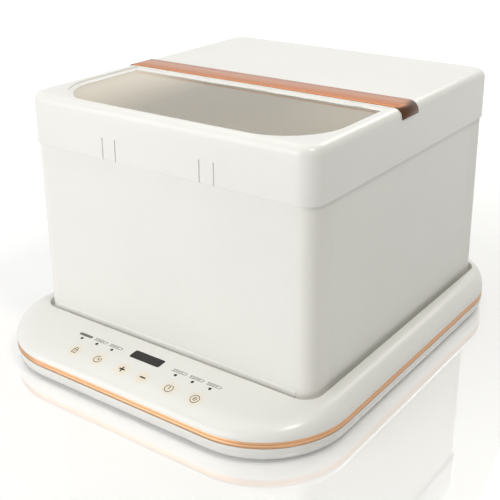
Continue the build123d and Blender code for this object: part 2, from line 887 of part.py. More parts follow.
for side in ("front", "back"):
    turn = -1 if side == "back" else 1
    bottom = pivot_height[side] - knuckle_radius
    with BuildPart() as corner_strips:
        with BuildSketch(level(bottom)):
            RectangleRounded(box_width, box_depth, box_corner)
            RectangleRounded(
                box_width - 2 * wall_thickness,
                box_depth - 2 * wall_thickness,
                box_corner - wall_thickness,
                mode=Mode.SUBTRACT,
            )
            Rectangle(end_wall_width + 2 * seam_gap, box_depth, mode=Mode.SUBTRACT)
            with Locations((0, turn * (box_depth / 2 - side_wall_width / 2 - slip))):
                Rectangle(box_width, box_depth, mode=Mode.SUBTRACT)
        extrude(amount=wall_top - bottom)
    save(corner_strips.part, side + "_corner_strips")


# ---------------------------------------------------------------------------
# Lid: one deep cap with snap tongues, a window under its top and a metal strap
# ---------------------------------------------------------------------------
def window_outline(height, grow, front_grow):
    """Window opening grown at its sides and rear, and by its own share at the front."""
    front = window_front - front_grow
    rear = window_back + grow
    with BuildSketch(level(height)) as outline:
        with Locations((0, (front + rear) / 2)):
            Rectangle(2 * (window_half + grow), rear - front)
        fillet(outline.vertices().group_by(Axis.Y)[0], window_front_round + grow)
        fillet(outline.vertices().group_by(Axis.Y)[-1], window_back_round + grow)
    return outline.sketch


side_ears = [
    (sign * (window_half + ear_middle), window_back - setback)
    for sign in (-1, 1)
    for setback in (front_ear_setback, rear_ear_setback)
]
rear_ears = [(sign * (window_half - ear_inset), window_back + ear_middle) for sign in (-1, 0, 1)]
ear_depth = ear_reach - window_overlap - seam_gap
stud_reach = lid_width / 2 - stud_inset
stud_places = [
    (stud_reach * (2 * number / (stud_count - 1) - 1), strap_line) for number in range(stud_count)
]
clip_bottom = glass_bottom - retainer_lip

with BuildPart() as lid_shell:
    add(box_outline(lid_bottom, lid_width, lid_depth, lid_corner))
    extrude(amount=lid_height)
    fillet(lid_shell.faces().sort_by(Axis.Z)[-1].edges(), lid_top_round)
    add(box_outline(lid_bottom, lid_width - 2 * lid_skin, lid_depth - 2 * lid_skin, box_corner + slip))
    extrude(amount=lid_height - lid_plate - lid_step, mode=Mode.SUBTRACT)
    add(box_outline(lid_bottom, box_width - 2 * wall_thickness, box_depth - 2 * wall_thickness,
                    box_corner - wall_thickness))
    extrude(amount=lid_height - lid_plate, mode=Mode.SUBTRACT)
    add(window_outline(plate_under, 0, 0))
    extrude(amount=lid_plate, mode=Mode.SUBTRACT)
    for turn in (-1, 1):
        for tongue_x in (-tongue_spacing / 2, tongue_spacing / 2):
            with Locations((tongue_x, box_y + turn * (lid_depth / 2 - lid_skin), lid_bottom + bump_rise)):
                Box(bump_length, 2 * bump_height, 2 * slit_width)
            for edge in (-tongue_width / 2, tongue_width / 2):
                with Locations((tongue_x + edge, box_y + turn * lid_depth / 2, lid_bottom)):
                    Box(slit_width, 2 * (lid_skin + slip), 2 * slit_height, mode=Mode.SUBTRACT)
    with BuildSketch(level(plate_under)):
        with Locations(*stud_places):
            Circle(stud_radius + seam_gap)
    extrude(amount=lid_plate, mode=Mode.SUBTRACT)
    with BuildSketch(level(plate_under)):
        with Locations(*side_ears, *rear_ears):
            Circle(retainer_screw_radius + press_gap)
    extrude(amount=retainer_bite, mode=Mode.SUBTRACT)
save(lid_shell.part, "lid_shell")

with BuildPart() as window_gasket:
    add(window_outline(glass_top, window_overlap, window_overlap))
    extrude(amount=window_seal)
    add(window_outline(glass_top, seam_gap, seam_gap))
    extrude(amount=window_seal, mode=Mode.SUBTRACT)
save(window_gasket.part, "window_gasket")

with BuildPart() as window_pane:
    add(window_outline(glass_bottom, window_overlap, window_overlap))
    extrude(amount=window_glass)
save(window_pane.part, "window_pane")

with BuildPart() as window_retainer:
    add(window_outline(clip_bottom, retainer_reach, retainer_reach))
    extrude(amount=plate_under - clip_bottom)
    for places, size in ((side_ears, (ear_depth, ear_length)), (rear_ears, (ear_length, ear_depth))):
        with BuildSketch(level(clip_bottom)):
            with Locations(*places):
                Rectangle(*size)
        extrude(amount=plate_under - clip_bottom)
    add(window_outline(glass_bottom, window_overlap + seam_gap, window_overlap + seam_gap))
    extrude(amount=plate_under - glass_bottom, mode=Mode.SUBTRACT)
    add(window_outline(clip_bottom, -seam_gap, -seam_gap))
    extrude(amount=retainer_lip, mode=Mode.SUBTRACT)
    with BuildSketch(level(clip_bottom)):
        with Locations(*side_ears, *rear_ears):
            Circle(retainer_screw_radius + press_gap)
    extrude(amount=plate_under - clip_bottom, mode=Mode.SUBTRACT)
save(window_retainer.part, "window_retainer")

with BuildPart() as retainer_screws:
    with BuildSketch(level(clip_bottom - retainer_head_height)):
        with Locations(*side_ears, *rear_ears):
            Circle(retainer_head_radius)
    extrude(amount=retainer_head_height)
    with BuildSketch(level(clip_bottom - retainer_head_height)):
        with Locations(*side_ears, *rear_ears):
            Circle(retainer_screw_radius)
    extrude(amount=retainer_head_height + plate_under - clip_bottom + retainer_bite - press_gap)
    with BuildSketch(level(clip_bottom - retainer_head_height)):
        with Locations(*side_ears, *rear_ears):
            RegularPolygon(retainer_screw_radius, 6)
    extrude(amount=retainer_head_height / 2, mode=Mode.SUBTRACT)
save(retainer_screws.part, "retainer_screws")

strap_half = lid_width / 2 + seam_gap
with BuildPart() as lid_strap:
    with BuildSketch(facing_front(strap_line + strap_width / 2)):
        with BuildLine():
            FilletPolyline(
                (-strap_half, lid_top - strap_drop),
                (-strap_half, lid_top + seam_gap),
                (strap_half, lid_top + seam_gap),
                (strap_half, lid_top - strap_drop),
                radius=lid_top_round + seam_gap,
            )
            offset(amount=strap_thickness, side=Side.LEFT)
        make_face()
    extrude(amount=strap_width)
    with BuildSketch(level(plate_under - nut_height - seat_gap)):
        with Locations(*stud_places):
            Circle(stud_radius)
    extrude(amount=nut_height + seat_gap + lid_plate + strap_thickness / 2)
save(lid_strap.part, "lid_strap")

with BuildPart() as strap_push_nuts:
    with BuildSketch(level(plate_under)):
        with Locations(*stud_places):
            Circle(nut_radius)
            Circle(stud_radius + press_gap, mode=Mode.SUBTRACT)
    extrude(amount=-nut_height)
save(strap_push_nuts.part, "strap_push_nuts")
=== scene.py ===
import json
from math import cos, pi, radians, sin, sqrt

import bmesh
import bpy
from mathutils import Matrix, Quaternion, Vector, noise


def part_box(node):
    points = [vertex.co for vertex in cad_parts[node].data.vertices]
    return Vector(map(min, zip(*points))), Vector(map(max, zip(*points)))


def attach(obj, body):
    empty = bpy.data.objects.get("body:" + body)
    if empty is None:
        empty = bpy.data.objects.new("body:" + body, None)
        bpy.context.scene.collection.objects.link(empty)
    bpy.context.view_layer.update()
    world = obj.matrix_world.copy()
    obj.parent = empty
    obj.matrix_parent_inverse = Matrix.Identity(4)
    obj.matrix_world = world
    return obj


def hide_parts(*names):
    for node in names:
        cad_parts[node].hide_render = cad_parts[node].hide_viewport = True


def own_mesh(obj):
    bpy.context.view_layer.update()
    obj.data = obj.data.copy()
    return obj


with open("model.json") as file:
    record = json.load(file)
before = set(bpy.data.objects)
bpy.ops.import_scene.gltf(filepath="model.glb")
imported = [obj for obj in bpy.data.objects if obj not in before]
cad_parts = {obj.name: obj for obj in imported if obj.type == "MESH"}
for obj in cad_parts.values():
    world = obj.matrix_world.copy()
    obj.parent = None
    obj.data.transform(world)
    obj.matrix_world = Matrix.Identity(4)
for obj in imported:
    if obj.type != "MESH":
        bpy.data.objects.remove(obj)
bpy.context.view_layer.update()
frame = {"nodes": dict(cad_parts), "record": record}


# ---------------------------------------------------------------------------
# Photographer's table and studio: a glossy white top that mirrors the foot of
# the proofer and keeps its soft shadow, large soft lamps and a white room.
# ---------------------------------------------------------------------------
def add_object(name, data):
    """Links new data to the scene under its own name."""
    thing = bpy.data.objects.new(name, data)
    bpy.context.scene.collection.objects.link(thing)
    return thing


def set_inputs(tree, node, inputs):
    """Gives a node's inputs their values, or links them where the value is another node's output."""
    for socket, value in inputs.items():
        if isinstance(value, bpy.types.NodeSocket):
            tree.links.new(value, node.inputs[socket])
        else:
            node.inputs[socket].default_value = value


def add_node(tree, kind, inputs, output=0, **settings):
    """Adds a shader node with its settings and inputs, and returns one of its outputs."""
    node = tree.nodes.new("ShaderNode" + kind)
    for name, value in settings.items():
        setattr(node, name, value)
    set_inputs(tree, node, inputs)
    return node.outputs[output]


table_reach = 6.0
table_bm = bmesh.new()
bmesh.ops.create_grid(table_bm, x_segments=1, y_segments=1, size=table_reach)
table_mesh = bpy.data.meshes.new("table_top")
table_bm.to_mesh(table_mesh)
table_bm.free()
table_top = add_object("table_top", table_mesh)

white_table = bpy.data.materials.new("white_table")
white_table.use_nodes = True
table_tree = white_table.node_tree
table_rays = table_tree.nodes.new("ShaderNodeLightPath").outputs
table_shade = add_node(table_tree, "Mix", {
    "Factor": table_rays["Is Camera Ray"],
    "A": (0.66, 0.66, 0.66, 1),
    "B": (0.90, 0.90, 0.90, 1),
}, "Result", data_type="RGBA")
table_paint = table_tree.nodes["Principled BSDF"]
set_inputs(table_tree, table_paint, {"Base Color": table_shade, "Roughness": 0.6, "Specular IOR Level": 0.0})
table_place = add_node(table_tree, "TexCoord", {}, "Object")
table_far = add_node(table_tree, "VectorMath", {0: table_place}, "Value", operation="LENGTH")
table_sweep = add_node(table_tree, "MapRange", {
    "Value": table_far,
    "From Min": 0.35,
    "From Max": 1.3,
    "To Min": 0.18,
    "To Max": 0.85,
})
table_seen = add_node(table_tree, "Math", {
    0: table_rays["Is Camera Ray"],
    1: table_rays["Is Glossy Ray"],
}, operation="MAXIMUM")
table_gain = add_node(table_tree, "Math", {0: table_seen, 1: table_sweep}, operation="MULTIPLY")
table_glow = add_node(table_tree, "Emission", {"Color": (1, 1, 1, 1), "Strength": table_gain})
table_sum = add_node(table_tree, "AddShader", {0: table_paint.outputs[0], 1: table_glow})
table_polish = add_node(table_tree, "BsdfGlossy", {"Color": (1, 1, 1, 1), "Roughness": 0.03})
table_share = add_node(table_tree, "Fresnel", {"IOR": 3.2})
table_surface = add_node(table_tree, "MixShader", {"Fac": table_share, 1: table_sum, 2: table_polish})
set_inputs(table_tree, table_tree.nodes["Material Output"], {"Surface": table_surface})
table_mesh.materials.append(white_table)

studio = bpy.data.worlds.new("studio")
bpy.context.scene.world = studio
studio.use_nodes = True
studio_tree = studio.node_tree
studio_rays = studio_tree.nodes.new("ShaderNodeLightPath").outputs
seen_or_mirrored = add_node(studio_tree, "Math", {
    0: studio_rays["Is Camera Ray"],
    1: studio_rays["Is Glossy Ray"],
}, operation="MAXIMUM")
seen_any_way = add_node(studio_tree, "Math", {
    0: seen_or_mirrored,
    1: studio_rays["Is Transmission Ray"],
}, operation="MAXIMUM")
room_light = studio_tree.nodes["Background"]
set_inputs(studio_tree, room_light, {"Color": (1.0, 0.985, 0.92, 1), "Strength": 0.25})
white_back = add_node(studio_tree, "Background", {"Color": (1, 1, 1, 1), "Strength": 1.0})
studio_mix = add_node(studio_tree, "MixShader", {
    "Fac": seen_any_way,
    1: room_light.outputs[0],
    2: white_back,
})
set_inputs(studio_tree, studio_tree.nodes["World Output"], {"Surface": studio_mix})

lamp_aim = Vector((0, 0, 0.12))
for lamp_name, lamp_place, power, width, warmth in (
    ("front_softbox", Vector((-0.75, -1.7, 0.65)), 21.0, 1.8, (1, 1, 1)),
    ("top_softbox", Vector((-0.3, 0.1, 1.7)), 11.0, 2.0, (1, 1, 1)),
    ("right_fill", Vector((0.8, -0.3, 1.5)), 5.5, 0.35, (1, 0.985, 0.9)),
    ("rear_kicker", Vector((0.1, 1.5, 1.5)), 6.0, 0.8, (1, 0.99, 0.95)),
):
    lamp_data = bpy.data.lights.new(lamp_name, "AREA")
    lamp_data.energy = power
    lamp_data.size = width
    lamp_data.color = warmth
    lamp = add_object(lamp_name, lamp_data)
    lamp.location = lamp_place
    lamp.rotation_euler = (lamp_place - lamp_aim).to_track_quat("Z", "Y").to_euler()

azimuth, elevation, roll = radians(36.17), radians(20.75), radians(-0.57)
camera_back = Vector((sin(azimuth) * cos(elevation), -cos(azimuth) * cos(elevation), sin(elevation)))
camera_data = bpy.data.cameras.new("camera")
camera_data.lens = 67.25
camera_data.sensor_width = 36.0
camera_data.shift_x = 0.0
camera_data.shift_y = -0.100
camera = add_object("camera", camera_data)
camera.location = (0.54464, -0.76438, 0.49874)
camera.rotation_mode = "QUATERNION"
camera.rotation_quaternion = camera_back.to_track_quat("Z", "Y") @ Quaternion((0, 0, 1), roll)
bpy.context.scene.camera = camera
bpy.context.scene.view_settings.view_transform = "Standard"


# ---------------------------------------------------------------------------
# Rubber feet: four moulded discs pressed into shallow seats under the base,
# with a rolled edge and a ring groove that grips the worktop.
# ---------------------------------------------------------------------------
def shade_ramp(tree, factor, low, high, ends):
    """Blends from one colour to another while a factor rises between two ends."""
    ramp = tree.nodes.new("ShaderNodeValToRGB")
    for stop, place, colour in zip(ramp.color_ramp.elements, ends, (low, high)):
        stop.position = place
        stop.color = (*colour, 1)
    set_inputs(tree, ramp, {"Fac": factor})
    return ramp.outputs["Color"]


def plain_plastic(name, shade, tint=0.012, roughness=0.3, peel=0.03, coat=0.6, shine=0.5):
    """Plastic or ink: a faint drift of shade, uneven gloss and a trace of orange peel."""
    made = bpy.data.materials.new(name)
    made.use_nodes = True
    tree = made.node_tree
    place = add_node(tree, "TexCoord", {}, "Object")
    drift = add_node(tree, "TexNoise", {"Vector": place, "Scale": 9.0, "Detail": 3.0}, "Fac")
    darker = [max(part - tint, 0) for part in shade]
    lighter = [min(part + tint, 1) for part in shade]
    gloss = add_node(tree, "MapRange", {
        "Value": drift,
        "To Min": roughness * 0.85,
        "To Max": roughness * 1.15,
    })
    pimples = add_node(tree, "TexNoise", {"Vector": place, "Scale": 420.0, "Detail": 2.0}, "Fac")
    bump = add_node(tree, "Bump", {"Strength": peel, "Distance": 0.0004, "Height": pimples})
    set_inputs(tree, tree.nodes["Principled BSDF"], {
        "Base Color": shade_ramp(tree, drift, darker, lighter, (0.3, 0.7)),
        "Roughness": gloss,
        "Normal": bump,
        "Specular IOR Level": shine,
        "Coat Weight": coat,
        "Coat Roughness": 0.14,
    })
    return made


def soft_rubber(name, shade, roughness=0.6):
    """Rubber, silicone or felt: a dull skin with a fine matt grain."""
    return plain_plastic(name, shade, tint=0.015, roughness=roughness, peel=0.12, coat=0.0, shine=0.35)


def give_finish(mesh, finish):
    """Makes a material the only one on a mesh."""
    mesh.materials.clear()
    mesh.materials.append(finish)


def cut_away(piece, cutter):
    """Takes the shape of a cutter bmesh out of a piece."""
    bmesh.ops.recalc_face_normals(cutter, faces=cutter.faces)
    cutter_mesh = bpy.data.meshes.new(piece.name + "_cutter")
    cutter.to_mesh(cutter_mesh)
    cutter.free()
    tool = add_object(cutter_mesh.name, cutter_mesh)
    cut = piece.modifiers.new("cut", "BOOLEAN")
    cut.object = tool
    cut.solver = "EXACT"
    bpy.context.view_layer.update()
    shaped = piece.evaluated_get(bpy.context.evaluated_depsgraph_get())
    shaped_mesh = bpy.data.meshes.new_from_object(shaped)
    piece.modifiers.clear()
    piece.data = shaped_mesh
    bpy.data.objects.remove(tool)


def finish_piece(bm, name, finish, body, stands_for, sharp=35.0, cutter=None):
    """Turns a bmesh into a piece that rides on its body, with anything cut away from it first."""
    bmesh.ops.recalc_face_normals(bm, faces=bm.faces)
    mesh = bpy.data.meshes.new(name)
    bm.to_mesh(mesh)
    bm.free()
    piece = add_object(name, mesh)
    if cutter is not None:
        cut_away(piece, cutter)
    piece.data.polygons.foreach_set("use_smooth", [True] * len(piece.data.polygons))
    piece.data.set_sharp_from_angle(angle=radians(sharp))
    give_finish(piece.data, finish)
    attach(piece, body)
    if stands_for:
        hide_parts(*stands_for)
    return piece


mm = 0.001
rubber_black = soft_rubber("rubber_black", (0.028, 0.028, 0.028))
feet_low, feet_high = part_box("rubber_feet")
foot_radius = 9 * mm
foot_profile = (
    (0, 0.5), (3.0, 0.5), (3.4, 0), (7.9, 0), (8.6, 0.3), (8.9, 0.9), (9.0, 1.8), (9.0, 4.0), (0, 4.0),
)

feet_bm = bmesh.new()
for foot_x in (feet_low.x + foot_radius, feet_high.x - foot_radius):
    for foot_y in (feet_low.y + foot_radius, feet_high.y - foot_radius):
        spots = [feet_bm.verts.new((foot_x + reach * mm, foot_y, height * mm))
                 for reach, height in foot_profile]
        rims = [feet_bm.edges.new(pair) for pair in zip(spots, spots[1:])]
        bmesh.ops.spin(feet_bm, geom=spots + rims, cent=(foot_x, foot_y, 0), axis=(0, 0, 1), angle=2 * pi,
                       steps=40, use_merge=True)
bmesh.ops.remove_doubles(feet_bm, verts=feet_bm.verts, dist=0.001 * mm)
finish_piece(feet_bm, "grip_feet", rubber_black, "base", ["rubber_feet"])


# ---------------------------------------------------------------------------
# Lower tray of the base: an ivory plastic moulding screwed up into the cover,
# rounded under to a flat bottom, with cooling slots and a notch in its rear
# for the appliance inlet.
# ---------------------------------------------------------------------------
def outline(bm, height, side, front, rear, front_round, rear_round):
    """Edges of a level closed outline with rounded corners; front and rear are Y values."""
    corners = [bm.verts.new((x, y, height)) for x, y in
               ((-side, front), (side, front), (side, rear), (-side, rear))]
    bm.faces.new(corners)
    for pair, corner_round in ((corners[:2], front_round), (corners[2:], rear_round)):
        bmesh.ops.bevel(bm, geom=pair, offset=corner_round, segments=18, profile=0.5,
                        affect="VERTICES", material=-1)
    bm.faces.ensure_lookup_table()
    face = bm.faces[0]
    edges = list(face.edges)
    bmesh.ops.delete(bm, geom=[face], context="FACES_ONLY")
    return edges


def skin(bm, loops, closed):
    """Bridges each outline to the next, and the last to the first on a closed section.

    Two outlines at one height don't bridge well, so the second is lifted while they do.
    """
    pairs = list(zip(loops, loops[1:]))
    if closed:
        pairs.append((loops[-1], loops[0]))
    for one, other in pairs:
        verts = list({vert for edge in other for vert in edge.verts})
        level = abs(one[0].verts[0].co.z - verts[0].co.z) < same_height
        lift = Vector((0, 0, bridge_lift if level else 0))
        bmesh.ops.translate(bm, verts=verts, vec=lift)
        bmesh.ops.bridge_loops(bm, edges=one + other)
        bmesh.ops.translate(bm, verts=verts, vec=-lift)


def add_block(bm, low, high):
    """Adds a box between two corners to a bmesh."""
    low, high = Vector(low), Vector(high)
    bmesh.ops.create_cube(bm, size=1, matrix=Matrix.LocRotScale((low + high) / 2, None, high - low))


def inlet_notch():
    """Cutter for the appliance inlet, which stands in the rear of both mouldings and of the band."""
    bm = bmesh.new()
    add_block(bm, inlet_low - Vector((inlet_gap, inlet_gap, inlet_gap)),
              inlet_high + Vector((inlet_gap, notch_reach, inlet_gap)))
    return bm


def base_outline(bm, height, draw):
    """The base's widest outline at a height, drawn in all round."""
    return outline(bm, height, cover_high.x - draw, cover_low.y + draw, cover_high.y - draw,
                   front_corner - draw, rear_corner - draw)


same_height = 0.1 * mm
bridge_lift = 5 * mm
ivory = (0.85, 0.845, 0.815)
ivory_gloss = plain_plastic("ivory_gloss", ivory, coat=0.3)
tray_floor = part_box("base_lower_shell")[0].z
cover_low, cover_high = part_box("base_upper_shell")
band_low, band_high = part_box("trim_band")
inlet_low, inlet_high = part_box("power_inlet")
inlet_gap = 0.3 * mm
notch_reach = 20 * mm
front_corner = 91 * mm
rear_corner = 95 * mm
shell_wall = 2.5 * mm
seam = 0.1 * mm
tray_top = band_low.z - seam
tray_round = 5 * mm
tray_steps = 14
vent_count = 8
vent_pitch = 9 * mm
vent_length = 24 * mm
vent_width = 2.5 * mm
vent_middle = 188 * mm


def tray_loop(bm, share, inset):
    """Outline of the tray where share runs from 0 at the trim band to 1 at its flat bottom."""
    height = tray_top - (tray_top - tray_floor - inset) * sin(share * pi / 2)
    return base_outline(bm, height, inset + tray_round * (1 - cos(share * pi / 2)))


tray_bm = bmesh.new()
outer_tray = [tray_loop(tray_bm, step / tray_steps, 0) for step in range(tray_steps + 1)]
inner_tray = [tray_loop(tray_bm, step / tray_steps, shell_wall) for step in range(tray_steps + 1)]
skin(tray_bm, outer_tray[::-1] + inner_tray, False)
bmesh.ops.contextual_create(tray_bm, geom=outer_tray[-1])
bmesh.ops.contextual_create(tray_bm, geom=inner_tray[-1])

tray_cutter = inlet_notch()
for number in range(vent_count):
    vent_x = (number - (vent_count - 1) / 2) * vent_pitch
    add_block(tray_cutter, (vent_x - vent_width / 2, vent_middle - vent_length / 2, -1 * mm),
              (vent_x + vent_width / 2, vent_middle + vent_length / 2, tray_floor + 2 * shell_wall))
finish_piece(tray_bm, "base_tray", ivory_gloss, "base", ["base_lower_shell"],
             cutter=tray_cutter)


# ---------------------------------------------------------------------------
# Trim band: an anodised champagne-gold strip pressed into the groove between
# the two mouldings, with rolled edges and a shallow line along its middle.
# ---------------------------------------------------------------------------
def grained_metal(name, shade, stretch, roughness):
    """Metal with a fine grain, drawn out along the axes on which its stretch is small."""
    made = bpy.data.materials.new(name)
    made.use_nodes = True
    tree = made.node_tree
    place = add_node(tree, "TexCoord", {}, "Object")
    run = add_node(tree, "Mapping", {"Vector": place, "Scale": stretch})
    grain = add_node(tree, "TexNoise", {"Vector": run, "Scale": 1.0, "Detail": 4.0}, "Fac")
    darker = [part * 0.95 for part in shade]
    lighter = [min(part * 1.04, 1) for part in shade]
    gloss = add_node(tree, "MapRange", {
        "Value": grain,
        "To Min": roughness * 0.8,
        "To Max": roughness * 1.25,
    })
    bump = add_node(tree, "Bump", {"Strength": 0.05, "Distance": 0.0002, "Height": grain})
    set_inputs(tree, tree.nodes["Principled BSDF"], {
        "Base Color": shade_ramp(tree, grain, darker, lighter, (0.3, 0.72)),
        "Roughness": gloss,
        "Normal": bump,
        "Metallic": 1.0,
    })
    return made


def rolled_edge(radius, turns):
    """Offsets across and along a quarter-round edge at each turn in degrees."""
    return [(radius * (1 - cos(radians(turn))), radius * (1 - sin(radians(turn)))) for turn in turns]


champagne_gold = grained_metal("champagne_gold", (0.66, 0.385, 0.215), (60, 60, 900), 0.4)
band_thickness = 1.7 * mm
band_set_back = 0.2 * mm
band_roll = 1.1 * mm
band_turns = (0, 30, 60, 90)
groove_depth = 0.45 * mm
groove_mouth = 0.9 * mm
groove_floor = 0.35 * mm


def band_loop(bm, height, inset):
    """Outline of the band, drawn in from its face by an inset."""
    return base_outline(bm, height, inset + band_set_back)


band_bm = bmesh.new()
band_loops = [band_loop(band_bm, band_low.z, band_thickness)]
for rise, inset in rolled_edge(band_roll, band_turns):
    band_loops.append(band_loop(band_bm, band_low.z + rise, inset))
band_middle = (band_low.z + band_high.z) / 2
for offset, inset in (
    (-groove_mouth, 0),
    (-groove_floor, groove_depth),
    (groove_floor, groove_depth),
    (groove_mouth, 0),
):
    band_loops.append(band_loop(band_bm, band_middle + offset, inset))
for drop, inset in rolled_edge(band_roll, band_turns[::-1]):
    band_loops.append(band_loop(band_bm, band_high.z - drop, inset))
band_loops.append(band_loop(band_bm, band_high.z, band_thickness))
skin(band_bm, band_loops, True)
finish_piece(band_bm, "gold_band", champagne_gold, "base", ["trim_band"], cutter=inlet_notch())


# ---------------------------------------------------------------------------
# Upper cover of the base: one glossy ivory moulding, domed from the band up to
# the rim, with a deep recess for the box. A painted glow warms its colour round
# the keys.
# ---------------------------------------------------------------------------
frame_low, frame_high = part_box("hinge_frame")
seat_gap = 0.3 * mm
recess_half = frame_high.x + seat_gap
recess_front = frame_low.y - seat_gap
recess_rear = frame_high.y + seat_gap
recess_corner = 19.5 * mm
ledge_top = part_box("plate_gasket")[0].z
ledge_reach = 18.0 * mm
cover_steps = 30
cover_inner_steps = 10
cover_bottom = band_high.z + seam
rim = cover_high.z
rim_edge = 0.9 * mm
rim_depth = 4 * mm
key_line = -212.7 * mm
key_places = (75.9 * mm, 45.3 * mm, 13.1 * mm)
key_shift = 1.8 * mm
halo_radius = 12 * mm


def cover_loop(bm, share, inset):
    """Outline of the dome where share runs from 0 at the trim band to 1 at the rim."""
    run = 1 - cos(share * pi / 2)

    def between(outer, inner):
        return outer + (inner - outer) * run

    return outline(
        bm,
        cover_bottom + (rim - cover_bottom - inset) * sin(share * pi / 2),
        between(cover_high.x - inset, recess_half + rim_edge - inset),
        between(cover_low.y + inset, recess_front - rim_edge + inset),
        between(cover_high.y - inset, recess_rear + rim_edge - inset),
        between(front_corner - inset, recess_corner + rim_edge),
        between(rear_corner - inset, recess_corner + rim_edge),
    )


def recess_loop(bm, height, grow):
    """Outline of the recess at a height, grown outwards all round."""
    return outline(bm, height, recess_half + grow, recess_front - grow, recess_rear + grow,
                   recess_corner + grow, recess_corner + grow)


def lay_colour(made, share, colour):
    """Lays a colour over a material's own by a share that changes over the piece."""
    tree = made.node_tree
    shader = tree.nodes["Principled BSDF"]
    own_colour = shader.inputs["Base Color"].links[0].from_socket
    laid = add_node(tree, "Mix", {"Factor": share, "A": own_colour, "B": (*colour, 1)}, "Result",
                    data_type="RGBA")
    set_inputs(tree, shader, {"Base Color": laid})


panel_gloss = plain_plastic("panel_gloss", ivory, coat=0.3)
panel_tree = panel_gloss.node_tree
panel_place = add_node(panel_tree, "TexCoord", {}, "Object")
panel_flat = add_node(panel_tree, "VectorMath", {
    0: panel_place,
    1: (1, 1, 0),
    2: (-key_shift, 0, 0),
}, operation="MULTIPLY_ADD")
panel_half = add_node(panel_tree, "VectorMath", {0: panel_flat}, operation="ABSOLUTE")
# Painted glow: a warm round patch round each of the six keys, on the front of the cover only.
glow = 0.0
for key_x in key_places:
    key_far = add_node(panel_tree, "VectorMath", {
        0: panel_half,
        1: (key_x, abs(key_line), 0),
    }, "Value", operation="DISTANCE")
    halo = add_node(panel_tree, "MapRange", {
        "Value": key_far,
        "From Min": halo_radius,
        "From Max": 0.0,
    }, interpolation_type="SMOOTHSTEP")
    glow = add_node(panel_tree, "Math", {0: glow, 1: halo}, operation="MAXIMUM")
panel_y = add_node(panel_tree, "SeparateXYZ", {0: panel_place}, "Y")
at_front = add_node(panel_tree, "Math", {0: panel_y, 1: 0.0}, operation="LESS_THAN")
front_glow = add_node(panel_tree, "Math", {0: glow, 1: at_front}, operation="MULTIPLY")
lay_colour(panel_gloss, front_glow, (0.88, 0.78, 0.63))

cover_bm = bmesh.new()
cover_loops = [cover_loop(cover_bm, step / cover_steps, 0) for step in range(cover_steps + 1)]
for drop, grow in rolled_edge(rim_edge, (30, 60, 90)):
    cover_loops.append(recess_loop(cover_bm, rim - drop, grow))
for height, grow in (
    (ledge_top, 0),
    (ledge_top, -ledge_reach),
    (ledge_top - shell_wall, -ledge_reach),
    (ledge_top - shell_wall, shell_wall),
    (rim - rim_depth, shell_wall),
):
    cover_loops.append(recess_loop(cover_bm, height, grow))
for step in range(cover_inner_steps - 2, -1, -1):
    cover_loops.append(cover_loop(cover_bm, step / cover_inner_steps, shell_wall))
skin(cover_bm, cover_loops, True)
finish_piece(cover_bm, "base_cover", panel_gloss, "base", ["base_upper_shell"],
             cutter=inlet_notch())


# ---------------------------------------------------------------------------
# Display window and indicator lamps: a smoked lens and six dark light pipes,
# moulded in tinted plastic and set flush in the cover's apron. All are unlit.
# ---------------------------------------------------------------------------
def apron_height(y):
    """Height of the cover's front apron at a Y value."""
    run = (y - cover_low.y) / (recess_front - rim_edge - cover_low.y)
    return cover_bottom + (rim - cover_bottom) * sqrt(1 - (1 - run) ** 2)


def move_new(bm, made, offset):
    """Moves the vertices that an extrusion made."""
    new_verts = [part for part in made["geom"] if isinstance(part, bmesh.types.BMVert)]
    bmesh.ops.translate(bm, verts=new_verts, vec=offset)


def lay_on_apron(bm, proud, depth):
    """Gives flat faces the apron's curve and a thickness, standing a little proud of the cover."""
    for vert in bm.verts:
        vert.co.z = apron_height(vert.co.y) + proud - depth
    raised = bmesh.ops.extrude_face_region(bm, geom=bm.faces[:], use_keep_orig=True)
    move_new(bm, raised, (0, 0, depth))


def disc(bm, x, y, radius):
    """Adds a flat round face."""
    bmesh.ops.create_circle(bm, cap_ends=True, segments=28, radius=radius,
                            matrix=Matrix.Translation((x, y, 0)))


smoked_lens = plain_plastic("smoked_lens", (0.026, 0.022, 0.022), tint=0.003, roughness=0.2, coat=0.0,
                            shine=0.2)
dark_lamp = plain_plastic("dark_lamp", (0.014, 0.013, 0.012), tint=0.003, roughness=0.35, coat=0.0,
                          shine=0.2)
lens_low, lens_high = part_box("display_window")
lens_corner = 2 * mm
lens_rows = 8
lens_proud = 0.10 * mm
lamp_line = -195.7 * mm
lamp_radius = 1.6 * mm
lamp_places = (40.8 * mm, 61.2 * mm, 81.6 * mm)
lamp_proud = 0.12 * mm
set_depth = 2.0 * mm

lens_bm = bmesh.new()
lens_corners = [lens_bm.verts.new((x, y, 0)) for x, y in (
    (lens_low.x, lens_low.y),
    (lens_high.x, lens_low.y),
    (lens_high.x, lens_high.y),
    (lens_low.x, lens_high.y),
)]
lens_bm.faces.new(lens_corners)
bmesh.ops.bevel(lens_bm, geom=lens_corners, offset=lens_corner, segments=6, profile=0.5,
                affect="VERTICES", material=-1)
for row in range(1, lens_rows):
    row_y = lens_low.y + (lens_high.y - lens_low.y) * row / lens_rows
    bmesh.ops.bisect_plane(lens_bm, geom=lens_bm.verts[:] + lens_bm.edges[:] + lens_bm.faces[:],
                           plane_co=(0, row_y, 0), plane_no=(0, 1, 0))
lay_on_apron(lens_bm, lens_proud, set_depth)
finish_piece(lens_bm, "display_lens", smoked_lens, "base", ["display_window"])

lamp_bm = bmesh.new()
for lamp_x in lamp_places:
    for side in (-1, 1):
        disc(lamp_bm, side * lamp_x, lamp_line, lamp_radius)
lay_on_apron(lamp_bm, lamp_proud, set_depth)
finish_piece(lamp_bm, "indicator_dots", dark_lamp, "base", ["indicator_light_pipes"])


